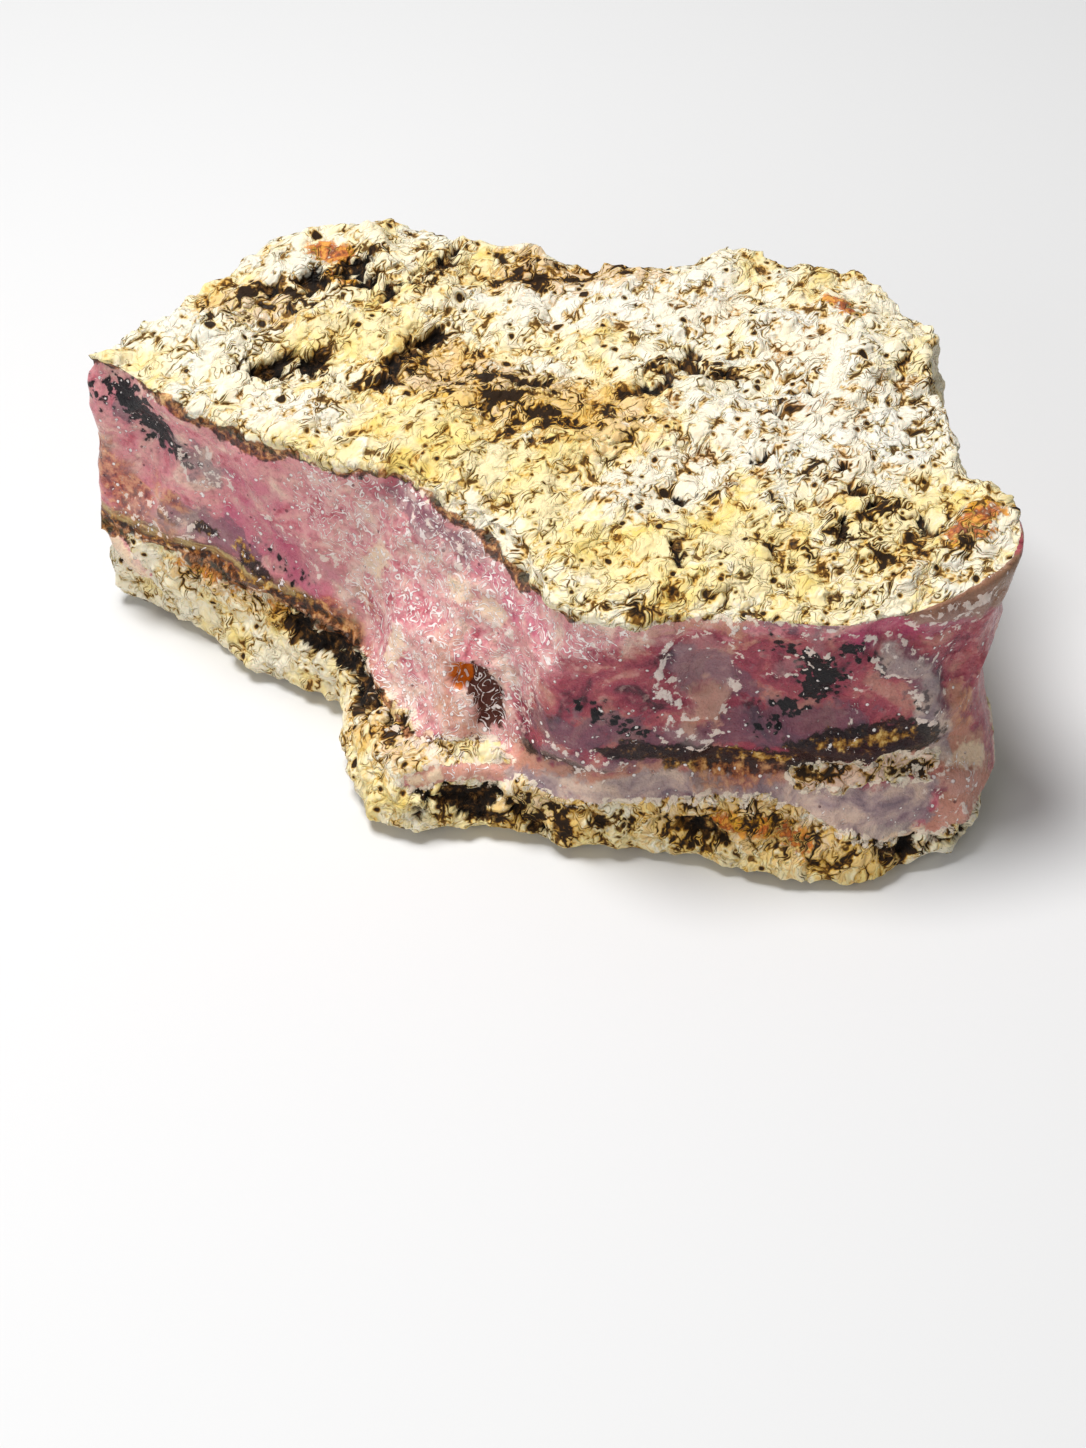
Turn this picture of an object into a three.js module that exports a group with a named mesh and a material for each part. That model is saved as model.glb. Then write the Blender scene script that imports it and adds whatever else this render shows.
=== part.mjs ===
// Rough pink opal: one hand specimen, 102 mm long, lying on its crusty underside.
// A seam of pink opal stands as a broken wall between two crusts of pale host rock.
// The upper crust is the lumpy, pitted top. The lower crust is a step that stands out in front of the wall
// and rounds under to the sole. The stone is one solid.
// Millimetres, +Z up, origin on the ground under the middle of the bounding box.
// The long side lies along X, and the opal wall shows best from -Y.
import * as THREE from "three";
import { ImprovedNoise } from "three/addons/math/ImprovedNoise.js";
import { mergeVertices } from "three/addons/utils/BufferGeometryUtils.js";

// ---- Driving dimensions ----
const TOP_HEIGHT = 36; // from the ground to the general level of the upper crust
const MIDDLE = [0, 4]; // every outline below is star-shaped as seen from this point
const SOLE_INSET = 4.5; // how far the sole lies inside the belly outline
const UNDERCUT = { inset: 1.35, height: 0.8 }; // a line of the curve between sole and belly
const FLAT_MIDDLE = [-1.7, 0.3]; // the worn flat patch that the stone rests on
const FLAT_RADIUS = 9;
const FLAT_FADE = 5; // past this much more, the sole is fully rough
const GRID = { long: 42, wide: 30, high: 12 }; // how finely the surface is divided
const SETTLING_SWEEPS = 80; // enough to even out the caps' grids, too few to fold them over the rim
const LOWER_ROWS = 4; // rows of the grid on the lower crust; the others are the opal wall
const ROUNDING = 0.35; // how rounded the outlines are at their points
const OUTLINE_SAMPLES = 1440;
const EDGE_DROP = 0.5; // how much lower the rim is than the crust just inside it
const UPPER_FADE = { start: -3, end: -0.5 }; // about the top's height: where opal turns to upper crust
const LOWER_FADE = { start: -1, end: 1.5 }; // about the height of the wall's foot: where lower crust ends
const GROUND_FADE = { start: 0.2, end: 2.5 }; // over the ground: where the side's relief begins

// Upper edge of the wall, from the left tip along the front to the right corner and round the back.
const RIM = [
  [-52.4, 13.4], [-49.5, 10.9], [-44.7, 7.0], [-38.8, 3.3], [-31.9, -1.2], [-24.1, -5.6], [-16.5, -7.4],
  [-12.1, -11.6], [-7.8, -15.0], [-3.5, -20.6], [-1.2, -26.0], [1.5, -29.2], [7.0, -30.0], [13.0, -29.4],
  [21.0, -29.3], [28.0, -30.8], [38.0, -29.2], [44.0, -25.8], [47.4, -22.3], [48.7, -16.6], [46.2, -12.4],
  [44.4, -7.4], [43.2, -1.0], [42.8, 3.0], [41.4, 7.5], [41.2, 12.0], [43.2, 16.6], [41.2, 20.0],
  [39.2, 23.8], [37.0, 27.2], [32.6, 28.8], [28.2, 28.8], [23.8, 30.3], [19.5, 32.0], [12.6, 31.2],
  [4.0, 31.2], [-5.0, 32.2], [-10.3, 33.4], [-14.6, 34.8], [-21.0, 35.0], [-27.5, 34.2], [-32.4, 32.0],
  [-35.6, 28.4], [-37.6, 25.0], [-41.2, 22.6], [-46.6, 18.4], [-51.0, 14.6],
].map(([x, y]) => [x, y, TOP_HEIGHT]);

// Foot of the opal wall, where the lower crust begins.
const FOOT = [
  [-53.3, 12.8, 12.0], [-48.3, 9.6, 12.7], [-41.0, 4.8, 13.0], [-36.0, 1.6, 12.8], [-30.0, -2.2, 13.5],
  [-24.9, -4.9, 14.0], [-20.8, -8.0, 12.5], [-18.1, -13.4, 12.0], [-15.6, -17.8, 11.0], [-13.3, -23.2, 10.0],
  [-5.8, -22.8, 10.0], [-1.0, -26.6, 11.0], [4.9, -29.4, 12.5], [15.7, -29.4, 12.0], [26.0, -30.2, 13.0],
  [34.5, -29.8, 13.5], [41.2, -27.4, 13.5], [45.8, -22.9, 13.0], [47.0, -17.0, 13.0], [46.0, -9.0, 12.5],
  [45.2, 0.0, 12.0], [44.6, 10.0, 12.0], [43.6, 18.0, 12.0], [40.6, 26.0, 12.0], [34.0, 31.4, 12.5],
  [20.0, 32.8, 11.0], [5.0, 29.6, 11.5], [-8.0, 32.4, 13.0], [-20.0, 33.6, 14.0], [-31.0, 31.6, 13.0],
  [-40.0, 24.4, 12.0], [-47.5, 17.6, 12.0],
];

// Upper outer edge of the lower crust, which stands out as a ledge at the front.
const LIP = [
  [-52.8, 12.4, 9.0], [-44.0, 6.2, 9.5], [-36.0, 0.6, 9.5], [-30.0, -3.3, 9.8], [-25.0, -6.4, 10.0],
  [-22.4, -10.5, 9.5], [-20.8, -16.0, 9.2], [-19.2, -23.0, 8.4], [-16.6, -26.0, 8.2], [-10.2, -25.3, 8.6],
  [-4.8, -26.6, 8.0], [2.0, -29.8, 8.5], [12.0, -30.8, 9.0], [22.0, -31.8, 9.0], [31.0, -32.6, 8.5],
  [39.0, -31.0, 9.0], [44.6, -27.2, 9.0], [47.2, -23.6, 9.0], [48.0, -17.0, 9.0], [46.8, -9.0, 9.0],
  [46.2, 0.0, 8.5], [45.6, 10.0, 8.5], [44.6, 18.0, 8.5], [41.4, 26.8, 8.5], [34.6, 33.0, 8.5],
  [20.0, 34.6, 8.0], [5.0, 31.4, 8.0], [-8.0, 34.0, 9.5], [-20.0, 36.2, 10.0], [-31.5, 33.4, 9.5],
  [-40.6, 25.6, 8.5], [-48.0, 17.8, 8.5],
];

// Widest line of the lower crust near the ground, before it rounds under.
const BELLY = [
  [-52.3, 12.0, 4.0], [-49.0, 10.8, 3.2], [-44.4, 7.2, 2.6], [-39.8, 2.6, 2.5], [-35.4, -1.8, 2.3],
  [-30.5, -4.6, 2.2], [-25.8, -7.4, 2.3], [-24.2, -10.0, 3.0], [-24.0, -15.0, 3.6], [-23.1, -18.8, 3.6],
  [-22.0, -22.3, 3.4], [-21.4, -25.2, 2.8], [-19.1, -27.2, 2.2], [-16.3, -28.4, 2.0], [-8.1, -28.2, 2.0],
  [-4.0, -28.6, 2.0], [0.7, -30.7, 2.0], [9.4, -32.1, 2.0], [18.1, -33.0, 2.0], [24.5, -35.1, 2.0],
  [31.0, -36.0, 2.0], [37.6, -34.8, 2.0], [43.0, -31.2, 3.0], [46.4, -27.4, 4.0], [48.0, -24.6, 5.0],
  [48.8, -17.0, 5.0], [47.4, -8.0, 4.0], [46.6, 2.0, 4.0], [45.8, 12.0, 4.0], [44.2, 20.0, 4.0],
  [41.0, 27.4, 4.0], [34.0, 33.6, 4.0], [19.0, 35.6, 3.6], [5.0, 33.0, 3.6], [-8.0, 34.6, 4.0],
  [-20.0, 36.0, 4.4], [-31.0, 32.6, 4.0], [-40.2, 25.0, 4.0], [-48.0, 17.2, 4.0],
];

// Rises and hollows of the upper crust: where, how far up or down, how long and how wide.
const TOP_FORMS = [
  { name: "knob at the back left", at: [-22.0, 31.0], rise: 4.0, reach: [10.5, 7.0] },
  { name: "shoulder behind the left tip", at: [-40.0, 17.0], rise: 0.9, reach: [9.0, 6.0] },
  { name: "small rise at the back", at: [20.0, 31.0], rise: 1.3, reach: [5.5, 4.5] },
  { name: "broad swell in the middle", at: [10.0, 4.0], rise: 1.3, reach: [22.0, 14.0] },
  { name: "swell at the right end", at: [36.0, 6.0], rise: 1.2, reach: [8.0, 12.0] },
  { name: "fall towards the front rim", at: [24.0, -33.0], rise: -2.0, reach: [24.0, 6.5] },
  { name: "right corner", at: [47.0, -16.0], rise: 1.2, reach: [3.5, 4.0] },
  { name: "dark pit on the left", at: [-26.0, 11.5], rise: -1.7, reach: [4.6, 1.9] },
  { name: "pit behind the middle", at: [-8.0, 14.0], rise: -1.2, reach: [5.0, 2.6] },
  { name: "rough hollow in the middle", at: [2.0, 4.0], rise: -1.3, reach: [6.0, 3.4] },
  { name: "split on the right", at: [25.5, 7.6], rise: -1.4, reach: [3.4, 1.6] },
  { name: "hollow at the right front", at: [38.5, -12.0], rise: -1.2, reach: [3.0, 4.0] },
];

// Shell-shaped breaks in the opal wall: the middle of each, its depth, and its reach along and up the wall.
// A break with a depth below zero is a swelling.
const WALL_HOLLOWS = [
  { name: "scoop by the ridge", at: [-29.5, -3.0, 18.0], depth: 2.0, reach: [6.0, 5.5] },
  { name: "scoop at the left", at: [-42.0, 5.4, 23.0], depth: 0.9, reach: [5.5, 7.0] },
  { name: "scoop in the sloping face", at: [-10.0, -17.0, 27.0], depth: 1.5, reach: [6.5, 7.5] },
  { name: "flat scar on the right", at: [12.0, -29.6, 25.0], depth: 0.8, reach: [7.0, 6.0] },
  { name: "second scar on the right", at: [31.0, -30.4, 24.0], depth: 0.9, reach: [8.0, 6.0] },
  { name: "scar at the back", at: [8.0, 31.4, 24.0], depth: 2.2, reach: [12.0, 8.0] },
  { name: "second scar at the back", at: [-33.0, 33.0, 22.0], depth: 2.0, reach: [8.0, 8.0] },
  { name: "bulge under the right rim", at: [42.5, 10.5, 28.5], depth: -1.9, reach: [4.5, 4.5] },
  { name: "swelling at the left tip", at: [-52.8, 12.8, 24.0], depth: -0.7, reach: [2.5, 9.0] },
];

const UPPER_LUMPS = [
  { wavelength: 15, height: 0.8 },
  { wavelength: 8, height: 1.0 },
  { wavelength: 5.2, height: 0.7 },
];
const LOWER_LUMPS = [
  { wavelength: 12, height: 0.7 },
  { wavelength: 6.5, height: 0.6 },
];
const WALL_WAVES = [{ wavelength: 14, height: 0.5 }]; // of the broken opal
const SOLE_LUMPS = [{ wavelength: 13, height: 1.5 }];
const SOLE_LIFT = 0.15; // the rough sole's mean height
const NOISE_GAIN = 1.6; // brings the noise's range to about one either way

const bell = (distance) => Math.exp(-0.5 * distance * distance);
const blend = (low, high, value) => THREE.MathUtils.smoothstep(value, low, high);
const noise = new ImprovedNoise();

/** Sums layers of noise at a place; each layer goes from about -height to +height. */
function roughness(layers, x, y, z) {
  let sum = 0;
  for (const { wavelength, height } of layers) {
    const scale = 1 / wavelength;
    sum += height * NOISE_GAIN * noise.noise(x * scale + 7.3, y * scale + 2.9, z * scale + 5.1);
  }
  return sum;
}

/** A closed outline through the points, which gives its radius and height at an angle about MIDDLE. */
function outline(points) {
  const curve = new THREE.CatmullRomCurve3(
    points.map(([x, y, z]) => new THREE.Vector3(x, y, z)),
    true,
    "catmullrom",
    ROUNDING,
  );
  const samples = curve
    .getPoints(OUTLINE_SAMPLES)
    .slice(0, -1)
    .map((p) => ({
      angle: Math.atan2(p.y - MIDDLE[1], p.x - MIDDLE[0]),
      radius: Math.hypot(p.x - MIDDLE[0], p.y - MIDDLE[1]),
      height: p.z,
    }))
    .sort((a, b) => a.angle - b.angle);
  return (angle) => {
    let high = samples.findIndex((s) => s.angle >= angle);
    if (high < 0) high = 0;
    const after = samples[high];
    const before = samples[(high + samples.length - 1) % samples.length];
    let span = after.angle - before.angle;
    let past = angle - before.angle;
    if (span < 0) span += 2 * Math.PI;
    if (past < 0) past += 2 * Math.PI;
    const share = span > 1e-9 ? Math.min(past / span, 1) : 0;
    return {
      radius: THREE.MathUtils.lerp(before.radius, after.radius, share),
      height: THREE.MathUtils.lerp(before.height, after.height, share),
    };
  };
}

const rim = outline(RIM);
const foot = outline(FOOT);
const lip = outline(LIP);
const belly = outline(BELLY);

/** Angles about MIDDLE at equal steps along the rim, from the left tip on. */
function rimAngles(count) {
  const curve = new THREE.CatmullRomCurve3(
    RIM.map(([x, y, z]) => new THREE.Vector3(x, y, z)),
    true,
    "catmullrom",
    ROUNDING,
  );
  curve.arcLengthDivisions = OUTLINE_SAMPLES;
  return curve
    .getSpacedPoints(count)
    .slice(0, -1)
    .map((p) => Math.atan2(p.y - MIDDLE[1], p.x - MIDDLE[0]));
}

/** Height of the upper crust before its lumps. */
function topHeight(x, y) {
  let height = TOP_HEIGHT;
  for (const { at, rise, reach } of TOP_FORMS)
    height += rise * bell(Math.hypot((x - at[0]) / reach[0], (y - at[1]) / reach[1]));
  return height;
}

/** Height of the underside: flat where worn, and elsewhere rough crust that never goes below the ground. */
function soleHeight(x, y) {
  const away = Math.hypot(x - FLAT_MIDDLE[0], y - FLAT_MIDDLE[1]);
  const rough = SOLE_LIFT + roughness(SOLE_LUMPS, x, y, 0);
  return Math.max(0, rough) * blend(FLAT_RADIUS, FLAT_RADIUS + FLAT_FADE, away);
}

const spread = (angle, radius) => [
  MIDDLE[0] + radius * Math.cos(angle),
  MIDDLE[1] + radius * Math.sin(angle),
];

/** A point of the side, row by row from the sole (row 0) to the rim (the last row). */
function sidePoint(angle, row) {
  const low = belly(angle);
  if (row === 1) return [...spread(angle, low.radius - UNDERCUT.inset), UNDERCUT.height];
  if (row === 2) return [...spread(angle, low.radius), low.height];
  if (row === 3) {
    const edge = lip(angle);
    return [...spread(angle, edge.radius), edge.height];
  }
  const bottom = foot(angle);
  const [rimX, rimY, rimHeight] = rimEdge(angle);
  const share = (row - LOWER_ROWS) / (GRID.high - LOWER_ROWS);
  const rimRadius = Math.hypot(rimX - MIDDLE[0], rimY - MIDDLE[1]);
  const radius = THREE.MathUtils.lerp(bottom.radius, rimRadius, share);
  return [...spread(angle, radius), THREE.MathUtils.lerp(bottom.height, rimHeight, share)];
}

/** The edge of the top, a little lower than the crust just inside it. */
function rimEdge(angle) {
  const [x, y] = spread(angle, rim(angle).radius);
  return [x, y, topHeight(x, y) - EDGE_DROP];
}

/** The edge of the sole. */
function soleEdge(angle) {
  const [x, y] = spread(angle, belly(angle).radius - SOLE_INSET);
  return [x, y, soleHeight(x, y)];
}

/** Place of a grid corner round the edge of the box, in steps from the left tip. */
function stepsRound(column, row) {
  if (row === 0) return column;
  if (column === GRID.long) return GRID.long + row;
  if (row === GRID.wide) return 2 * GRID.long + GRID.wide - column;
  return 2 * (GRID.long + GRID.wide) - row;
}

/** A cap's grid inside its edge. Each inner corner settles towards the middle of its four neighbours. */
function capGrid(angles, edge, height) {
  const grid = [];
  for (let column = 0; column <= GRID.long; column++) {
    grid.push([]);
    for (let row = 0; row <= GRID.wide; row++) {
      const inside = column > 0 && column < GRID.long && row > 0 && row < GRID.wide;
      grid[column].push(inside ? [...MIDDLE, 0] : edge(angles[stepsRound(column, row) % angles.length]));
    }
  }
  for (let sweep = 0; sweep < SETTLING_SWEEPS; sweep++)
    for (let column = 1; column < GRID.long; column++)
      for (let row = 1; row < GRID.wide; row++)
        for (const axis of [0, 1])
          grid[column][row][axis] =
            (grid[column - 1][row][axis] +
              grid[column + 1][row][axis] +
              grid[column][row - 1][axis] +
              grid[column][row + 1][axis]) /
            4;
  for (let column = 1; column < GRID.long; column++)
    for (let row = 1; row < GRID.wide; row++) {
      const [x, y] = grid[column][row];
      grid[column][row][2] = height(x, y);
    }
  return grid;
}

/** How far the surface stands out at a point: lumps on the crusts, waves and breaks on the opal. */
function relief(point) {
  const { x, y, z } = point;
  const foothold = foot(Math.atan2(y - MIDDLE[1], x - MIDDLE[0])).height;
  const lower = 1 - blend(foothold + LOWER_FADE.start, foothold + LOWER_FADE.end, z);
  const upper = blend(TOP_HEIGHT + UPPER_FADE.start, TOP_HEIGHT + UPPER_FADE.end, z);
  let opal = roughness(WALL_WAVES, x, y, z);
  for (const { at, depth, reach } of WALL_HOLLOWS) {
    const along = Math.hypot(x - at[0], y - at[1]) / reach[0];
    opal -= depth * bell(Math.hypot(along, (z - at[2]) / reach[1]));
  }
  const crusts = upper * roughness(UPPER_LUMPS, x, y, z) + lower * roughness(LOWER_LUMPS, x, y, z);
  return crusts + (1 - upper) * (1 - lower) * opal;
}

/** The stone's closed surface: a box's grid, whose top, sole and sides take their places on the stone. */
function stoneGeometry() {
  const box = new THREE.BoxGeometry(GRID.long, GRID.wide, GRID.high, GRID.long, GRID.wide, GRID.high);
  box.translate(GRID.long / 2, GRID.wide / 2, GRID.high / 2);
  const angles = rimAngles(2 * (GRID.long + GRID.wide));
  const top = capGrid(angles, rimEdge, topHeight);
  const sole = capGrid(angles, soleEdge, soleHeight);
  const corner = box.getAttribute("position");
  for (let i = 0; i < corner.count; i++) {
    const [column, row, level] = [corner.getX(i), corner.getY(i), corner.getZ(i)].map(Math.round);
    if (level === GRID.high) corner.setXYZ(i, ...top[column][row]);
    else if (level === 0) corner.setXYZ(i, ...sole[column][row]);
    else corner.setXYZ(i, ...sidePoint(angles[stepsRound(column, row) % angles.length], level));
  }
  box.deleteAttribute("normal");
  box.deleteAttribute("uv");
  const stone = mergeVertices(box, 1e-4);
  stone.computeVertexNormals();
  const place = stone.getAttribute("position");
  const facing = stone.getAttribute("normal");
  const point = new THREE.Vector3();
  const outward = new THREE.Vector3();
  for (let i = 0; i < place.count; i++) {
    point.fromBufferAttribute(place, i);
    outward.fromBufferAttribute(facing, i);
    const move = relief(point) * blend(GROUND_FADE.start, GROUND_FADE.end, point.z);
    point.addScaledVector(outward, move);
    place.setXYZ(i, point.x, point.y, Math.max(0, point.z));
  }
  stone.deleteAttribute("normal");
  stone.computeBoundingBox();
  const { min, max } = stone.boundingBox;
  stone.translate(-(min.x + max.x) / 2, -(min.y + max.y) / 2, 0);
  return stone;
}

const stone = new THREE.Mesh(
  stoneGeometry(),
  new THREE.MeshStandardMaterial({ color: 0xe3d5b4, roughness: 0.8, metalness: 0 }),
);
stone.name = "opal_stone";

const part = new THREE.Group();
part.add(stone);

export default part;
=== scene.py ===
# %% [markdown]
# # A rough pink opal
# The real thing is a broken block of rock, about as long as a hand is wide. A seam of pink opal runs
# through it, between two crusts of weathered silica. Everything is one stone, so the scene has one piece.
# It takes its form from the construction model, gains fine relief from a Geometry Nodes tree, and gets
# one material that changes from chalky crust to glassy opal where the seam's edges say so.

# %% Load the frame
import math
import bpy
import numpy as np
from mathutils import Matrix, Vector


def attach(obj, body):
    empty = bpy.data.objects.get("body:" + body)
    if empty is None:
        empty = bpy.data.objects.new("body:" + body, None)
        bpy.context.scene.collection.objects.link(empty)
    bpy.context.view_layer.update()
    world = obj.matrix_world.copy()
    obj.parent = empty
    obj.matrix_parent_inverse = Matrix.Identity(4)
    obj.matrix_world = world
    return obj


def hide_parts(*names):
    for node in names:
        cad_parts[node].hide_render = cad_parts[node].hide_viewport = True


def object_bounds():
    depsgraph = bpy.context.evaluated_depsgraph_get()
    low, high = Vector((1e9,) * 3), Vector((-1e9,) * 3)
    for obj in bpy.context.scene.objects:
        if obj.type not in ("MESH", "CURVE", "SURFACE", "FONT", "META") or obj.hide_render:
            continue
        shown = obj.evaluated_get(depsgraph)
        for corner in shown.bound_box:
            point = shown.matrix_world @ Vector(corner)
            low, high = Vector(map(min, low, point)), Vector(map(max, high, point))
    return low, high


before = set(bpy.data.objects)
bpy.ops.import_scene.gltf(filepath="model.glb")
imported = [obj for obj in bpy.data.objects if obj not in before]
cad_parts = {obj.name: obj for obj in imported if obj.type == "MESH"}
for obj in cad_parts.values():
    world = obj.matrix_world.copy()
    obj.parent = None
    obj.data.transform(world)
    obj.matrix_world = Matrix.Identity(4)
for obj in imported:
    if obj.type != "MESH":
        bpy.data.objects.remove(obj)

NODE = "opal_stone"
MM = 0.001  # the file works in metres, and places on the stone are written in millimetres
model_box = [list(map(float, corner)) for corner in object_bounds()]
print("construction model, mm:", [[round(v / MM, 1) for v in corner] for corner in model_box])

# %% [markdown]
# ## Three small helpers
# Colours are easiest to choose as sRGB hex values, as in a paint program, but shaders need linear light,
# so one function converts them. Node trees get long when every node, value and link takes a line of its
# own, so a second function adds a node with its settings and inputs, and returns the socket that its
# result comes out of. A colour ramp is a node too: its stops are given as one more setting. A third
# function puts an object in the scene.

# %% Helpers for colours, nodes and objects
def paint(hex_colour):
    """An sRGB hex colour as the linear RGBA value that a shader needs."""
    channels = [int(hex_colour[i : i + 2], 16) / 255 for i in (1, 3, 5)]
    return (*[c / 12.92 if c <= 0.04045 else ((c + 0.055) / 1.055) ** 2.4 for c in channels], 1.0)


def add(tree, kind, inputs=(), stops=(), **settings):
    """Adds a node and returns its first live output.

    Inputs are a list in the node's order, or a dict by name. An input is a value, or the output socket of
    another node. Stops are the values and hex colours of a colour ramp."""
    node = tree.nodes.new(kind)
    for name, value in settings.items():
        setattr(node, name, value)
    if stops:
        ramp = node.color_ramp.elements
        for value, hex_colour in stops:
            ramp.new(value).color = paint(hex_colour)
        ramp.remove(ramp[-1])  # a new ramp has a black stop and a white one at its ends
        ramp.remove(ramp[0])
    live = [socket for socket in node.inputs if socket.enabled]
    if not isinstance(inputs, dict):
        inputs = {socket: value for socket, value in zip(live, inputs)}
    for key, value in inputs.items():
        socket = next(s for s in live if s.name == key) if isinstance(key, str) else key
        if isinstance(value, bpy.types.NodeSocket):
            tree.links.new(value, socket)
        else:
            socket.default_value = value
    return next((socket for socket in node.outputs if socket.enabled), None)


def put(name, data):
    """A new object in the scene that shows this mesh, camera or lamp."""
    thing = bpy.data.objects.new(name, data)
    bpy.context.collection.objects.link(thing)
    return thing


NOISE = "ShaderNodeTexNoise"
CELLS = "ShaderNodeTexVoronoi"
RANGE = "ShaderNodeMapRange"  # its inputs: a value, the range it lies in, and the range it becomes
RAMP = "ShaderNodeValToRGB"
MATH = "ShaderNodeMath"
VECTOR = "ShaderNodeVectorMath"
MIX = "ShaderNodeMix"
SOFT = {"interpolation_type": "SMOOTHSTEP"}
ROUGH = {"Detail": 4.0, "Roughness": 0.6}  # noise inputs that give crisp, crumbly edges
print("cream crust in linear light:", [round(c, 3) for c in paint("#EFE3C4")])

# %% [markdown]
# ## Camera, floor and light
# A small stone on a table is looked down on, from about 40 degrees above. A 70 mm lens at a third of a
# metre keeps its outlines close to their true shape. The stone lies on a white table. One soft light
# hangs high over it, a little to the left, so the shadow is short and falls to the right. A weaker one in
# front lights the broken side. White surroundings fill the rest.

# %% Camera
camera = put("camera", bpy.data.cameras.new("camera"))
camera.data.lens = 70
camera.data.sensor_width = 36
camera.location = (0.9 * MM, -245.3 * MM, 223.7 * MM)
DOWN = 43.54  # degrees that the camera's axis points below the horizon
camera.rotation_euler = (math.radians(90 - DOWN), 0, 0)
bpy.context.scene.camera = camera
bpy.context.scene.view_settings.view_transform = "Standard"
print("camera height over the table, mm:", round(camera.location.z / MM))

# %% Floor
floor_mesh = bpy.data.meshes.new("table")
HALF = 2.0  # metres from the middle of the table to its sides
corners = [(-HALF, -HALF, 0), (HALF, -HALF, 0), (HALF, HALF, 0), (-HALF, HALF, 0)]
floor_mesh.from_pydata(corners, [], [(0, 1, 2, 3)])
floor = put("table", floor_mesh)
lacquer = bpy.data.materials.new("matt_white_lacquer")
lacquer.use_nodes = True
matt = lacquer.node_tree.nodes["Principled BSDF"].inputs
matt["Base Color"].default_value = paint("#E0E0E0")
matt["Roughness"].default_value = 0.9
floor_mesh.materials.append(lacquer)
print("table, metres across:", 2 * HALF)

# %% Light
world = bpy.data.worlds.new("white_room")
world.use_nodes = True
sky = world.node_tree.nodes["Background"].inputs
sky["Color"].default_value = paint("#FFFFFF")
sky["Strength"].default_value = 0.225
bpy.context.scene.world = world

LAMPS = [
    # name, place in mm, size in mm, power in W
    ("soft_light_above", (-140, 40, 545), 240, 3.25),
    ("soft_light_in_front", (-240, -400, 240), 300, 0.62),
]
for name, place, size, power in LAMPS:
    lamp = put(name, bpy.data.lights.new(name, "AREA"))
    lamp.data.shape = "DISK"
    lamp.data.size = size * MM
    lamp.data.energy = power
    lamp.location = [v * MM for v in place]
    lamp.rotation_euler = (-lamp.location).to_track_quat("-Z", "Y").to_euler()
print("lamps:", [row[0] for row in LAMPS])

# %% [markdown]
# ## The stone's body
# The construction model is a coarse faceted solid. Its corners would show as flat triangles, and it has
# too few points to carry grains of 1 mm. A subdivision surface would keep the stretched triangles of the
# side. A voxel remesh gives even squares everywhere, which is what fine relief needs, and a little
# smoothing takes the facets off. The voxel is half a millimetre: about the finest that keeps the mesh
# under 200,000 triangles.

# %% Even mesh over the whole stone
VOXEL = 0.52 * MM

source = bpy.data.objects[NODE]
body = put("stone_body", source.data.copy())
body.matrix_world = source.matrix_world.copy()
weld = body.modifiers.new("weld", "WELD")
weld.merge_threshold = 0.01 * MM
remesh = body.modifiers.new("even_squares", "REMESH")
remesh.mode = "VOXEL"
remesh.voxel_size = VOXEL
smooth = body.modifiers.new("facets_off", "SMOOTH")
smooth.factor = 0.5
smooth.iterations = 3


def as_plain_mesh(thing, name):
    """The thing with its modifiers applied, as a mesh in world coordinates. The thing itself is removed."""
    evaluated = thing.evaluated_get(bpy.context.evaluated_depsgraph_get())
    mesh = bpy.data.meshes.new_from_object(evaluated)
    mesh.transform(thing.matrix_world)
    mesh.name = name
    bpy.data.objects.remove(thing)
    return mesh


def of_points(mesh, kind):
    """The place or the normal of every point of a mesh."""
    values = np.empty(len(mesh.vertices) * 3)
    mesh.vertices.foreach_get(kind, values)
    return values.reshape(-1, 3)


even_mesh = as_plain_mesh(body, "even_stone")
count = len(even_mesh.vertices)
places = of_points(even_mesh, "co") / MM
facing = of_points(even_mesh, "normal")
print("points:", count, "faces:", len(even_mesh.polygons))

# %% [markdown]
# ## Where the seam begins and ends
# The opal seam has a foot and a top, two lines that run round the stone. Each is given by a few places on
# the stone. Between them the line's height is read by the angle about the stone's middle. The seam's
# edges are kept as distances in millimetres, not as a yes or no, so that noise can later make them
# ragged.

# %% The seam's two edge lines
MIDDLE = (2, 4)  # of the stone, seen from above
SEAM_FOOT = [
    (-51, 13, 13), (-45, 9, 12.6), (-39, 5, 12.4), (-33, 0, 12), (-27, -3.5, 11.5), (-22, -7.5, 10.8),
    (-17, -15, 10.6), (-13, -23, 10.2), (-11, -24, 10.2), (-5.6, -26, 9.9), (-3.4, -27, 9.2),
    (1.7, -29, 7.6), (6.6, -30.7, 8), (10.4, -30.6, 7.6), (14.6, -30.5, 8.8), (20.6, -30.8, 9.6),
    (25, -31, 9.6), (29, -32, 8.4), (32, -33, 6.8), (38, -34, 5), (44, -32, 4.6), (49, -22, 5),
    (49, -10, 9), (46, 0, 10), (44, 18, 12), (38, 28, 15), (22, 32, 13), (5, 30, 10), (-8, 32, 12),
    (-20, 34, 15), (-33, 31, 14), (-42, 23, 12),
]
SEAM_TOP = [
    (-48, 11.5, 35.2), (-42, 7, 34), (-37, 4, 33), (-31, 0, 32.8), (-25, -4, 34), (-18, -7.5, 34.4),
    (-10, -12, 34), (-6, -15, 32.4), (-1.5, -20, 30.6), (1, -26, 31.8), (6, -29.5, 33.2), (17, -29, 33.2),
    (30, -29, 33.8), (34, -28.6, 36.4), (38, -28, 39.2), (43, -26, 39.8), (48, -22, 39.8), (49, -16, 36.5),
    (46, -2, 31), (43, 8, 27), (44, 18, 29), (38, 28, 32), (22, 31, 30), (5, 31, 27), (-10, 33, 30),
    (-22, 35, 31), (-34, 30, 32), (-43, 22, 33),
]


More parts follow.
